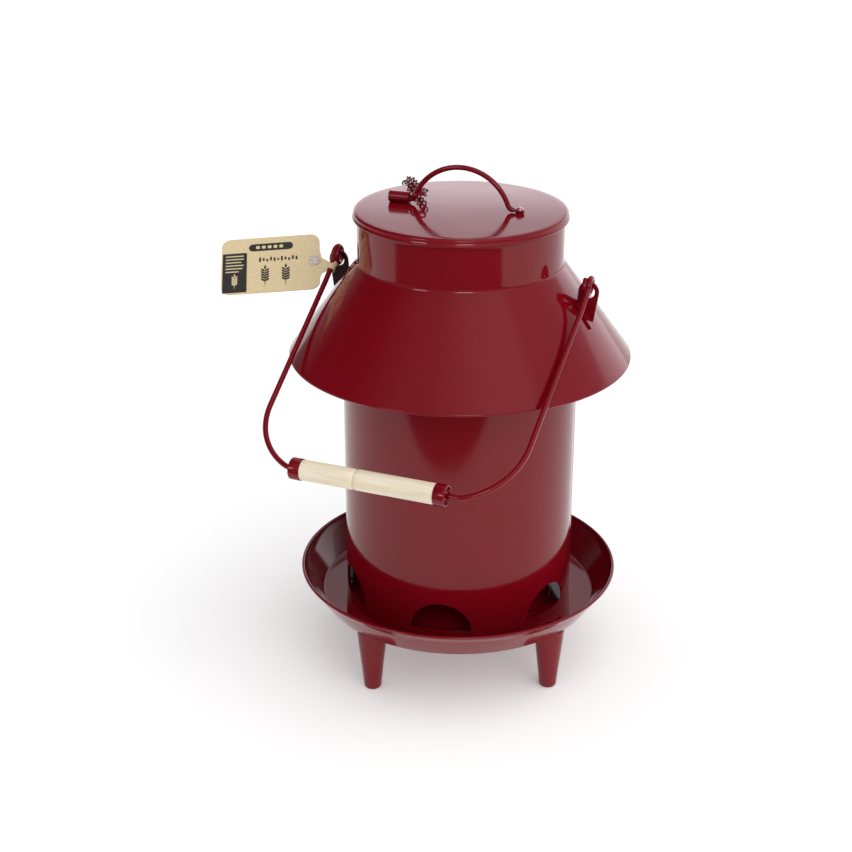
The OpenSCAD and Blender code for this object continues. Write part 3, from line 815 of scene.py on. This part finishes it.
def sheet(name, verts, dark, light, grain):
    """A flat matt sheet of the studio, its corners in metres and its greys slightly uneven."""
    mesh = bpy.data.meshes.new(name)
    mesh.from_pydata(verts, [], [list(range(len(verts)))])
    obj = bpy.data.objects.new(name, mesh)
    scene.collection.objects.link(obj)
    mat, tree, bsdf = new_material(name)
    stops = [(NOISE_LOW, (dark,) * 3), (NOISE_HIGH, (light,) * 3)]
    tree.links.new(ramp(tree, noise(tree, coords(tree), *grain), stops), bsdf.inputs["Base Color"])
    bsdf.inputs["Roughness"].default_value = 0.9
    mesh.materials.append(mat)
    return obj, bsdf


FLOOR_HALF = 9
FLOOR_GLOW = 0.19
corners = [(x * FLOOR_HALF, y * FLOOR_HALF, 0) for x, y in ((-1, -1), (1, -1), (1, 1), (-1, 1))]
_, floor_bsdf = sheet("floor", corners, 0.86, 0.9, (3, 3))
floor_bsdf.inputs["Emission Color"].default_value = (1, 1, 1, 1)
floor_bsdf.inputs["Emission Strength"].default_value = FLOOR_GLOW

# The studio as the gloss sees it, as pairs of (azimuth in degrees round from the camera, brightness):
# the walls high up, the walls low down, and bright strips over part of the high walls.
HIGH_LIGHT = ((-180, 0.95), (-145, 0.05), (-100, 0.02), (-80, 0.06), (-50, 0.3), (-25, 0.38), (-8, 0.56),
              (10, 0.78), (32, 0.92), (52, 0.92), (64, 0.6), (100, 0.58), (135, 0.9), (180, 0.95))
LOW_LIGHT = ((-180, 2.15), (-160, 2.0), (-150, 0.3), (-118, 0.02), (-95, 0.2), (60, 0.25), (90, 0.7),
             (105, 1.2), (120, 1.75), (140, 2.0), (180, 2.15))
STRIP_LIGHT = ((-56, 0), (-52, 7), (-40, 7), (-36, 0), (-8, 0), (-3, 8), (10, 8), (15, 0))
# How far the high walls and the strips show, as pairs of (elevation in degrees, share).
HIGH_FROM = ((14.9, 0), (15.9, 0.85), (17.5, 0.95), (24, 1))
STRIPS_FROM = ((17, 0), (19, 1), (26, 1), (29, 0))
BRIGHTEST = 8.0
FILL = 0.68
TINT = (1.0, 0.96, 1.02)

world = bpy.data.worlds.new("studio")
scene.world = world
world.use_nodes = True


def world_map():
    """The walls for gloss, one even grey for the soft light, and plain white for the camera."""
    tree = world.node_tree
    nodes, links = tree.nodes, tree.links
    tex = nodes.new("ShaderNodeTexCoord")
    turned = nodes.new("ShaderNodeVectorRotate")
    turned.rotation_type = "Z_AXIS"
    turned.inputs["Angle"].default_value = rad(-VIEW)
    links.new(tex.outputs["Generated"], turned.inputs["Vector"])
    parts = nodes.new("ShaderNodeSeparateXYZ")
    links.new(turned.outputs["Vector"], parts.inputs["Vector"])

    def calc(op, a, b=None):
        node = nodes.new("ShaderNodeMath")
        node.operation = op
        for socket, value in zip(node.inputs, (a, b)):
            if isinstance(value, (int, float)):
                socket.default_value = value
            elif value is not None:
                links.new(value, socket)
        return node.outputs["Value"]

    def mix(factor, a, b, blend_type="MIX"):
        node = nodes.new("ShaderNodeMix")
        node.data_type = "RGBA"
        node.blend_type = blend_type
        links.new(factor, node.inputs["Factor"])
        for socket, value in ((MIX_A, a), (MIX_B, b)):
            if isinstance(value, float):
                node.inputs[socket].default_value = (value, value, value, 1)
            else:
                links.new(value, node.inputs[socket])
        return node.outputs[MIX_RESULT]

    around = calc("ARCTAN2", parts.outputs["X"], calc("MULTIPLY", parts.outputs["Y"], -1.0))
    around = calc("ADD", calc("DIVIDE", around, 2 * math.pi), 0.5)
    height = calc("ADD", calc("DIVIDE", calc("ARCSINE", parts.outputs["Z"]), math.pi), 0.5)

    def walls(stops):
        tinted = [((az + 180) / 360, tuple(c * v / BRIGHTEST for c in TINT)) for az, v in stops]
        return ramp(tree, around, tinted)

    def share(stops):
        return ramp(tree, height, [((e + 90) / 180, (v, v, v)) for e, v in stops])

    room = mix(share(HIGH_FROM), walls(LOW_LIGHT), walls(HIGH_LIGHT))
    room = mix(share(STRIPS_FROM), room, walls(STRIP_LIGHT), "ADD")
    path = nodes.new("ShaderNodeLightPath")
    lit = mix(path.outputs["Is Glossy Ray"], FILL / BRIGHTEST, room)
    seen = mix(path.outputs["Is Camera Ray"], lit, 1 / BRIGHTEST)
    back = nodes["Background"]
    links.new(seen, back.inputs["Color"])
    back.inputs["Strength"].default_value = BRIGHTEST


world_map()

# Two soft suns as (name, strength, angle across in degrees, direction in the camera's turned frame).
SUNS = (("overhead_diffuser", 1.2, 75, (0.9, -0.9, 2.0)), ("front_diffuser", 0.7, 50, (0.55, -1.0, 0.3)))
for name, energy, across, start in SUNS:
    sun = bpy.data.lights.new(name, "SUN")
    sun.energy = energy
    sun.angle = rad(across)
    sun_object = bpy.data.objects.new(name, sun)
    sun_object.visible_glossy = False
    sun_object.location = TURN @ Vector(start)
    sun_object.rotation_euler = (-sun_object.location).to_track_quat("-Z", "Y").to_euler()
    scene.collection.objects.link(sun_object)

# The pale floor ends a little way in front of the feeder, and only the gloss shows the darkness beyond.
CARD_Z = 0.003
EDGE = ((-2.6, 0.05), (-1.18, -0.3), (-0.45, -0.44), (0, -0.54), (0.3, -0.62), (0.87, -0.88), (2.6, -1.7))
FRONT = ((6, -6), (-6, -6))
corners = [tuple(TURN @ Vector((x, y, CARD_Z))) for x, y in EDGE + FRONT]
dark_card, _ = sheet("dark_card", corners[::-1], 0.07, 0.1, (2, 2))
for flag in ("visible_camera", "visible_diffuse", "visible_shadow", "visible_transmission"):
    setattr(dark_card, flag, False)
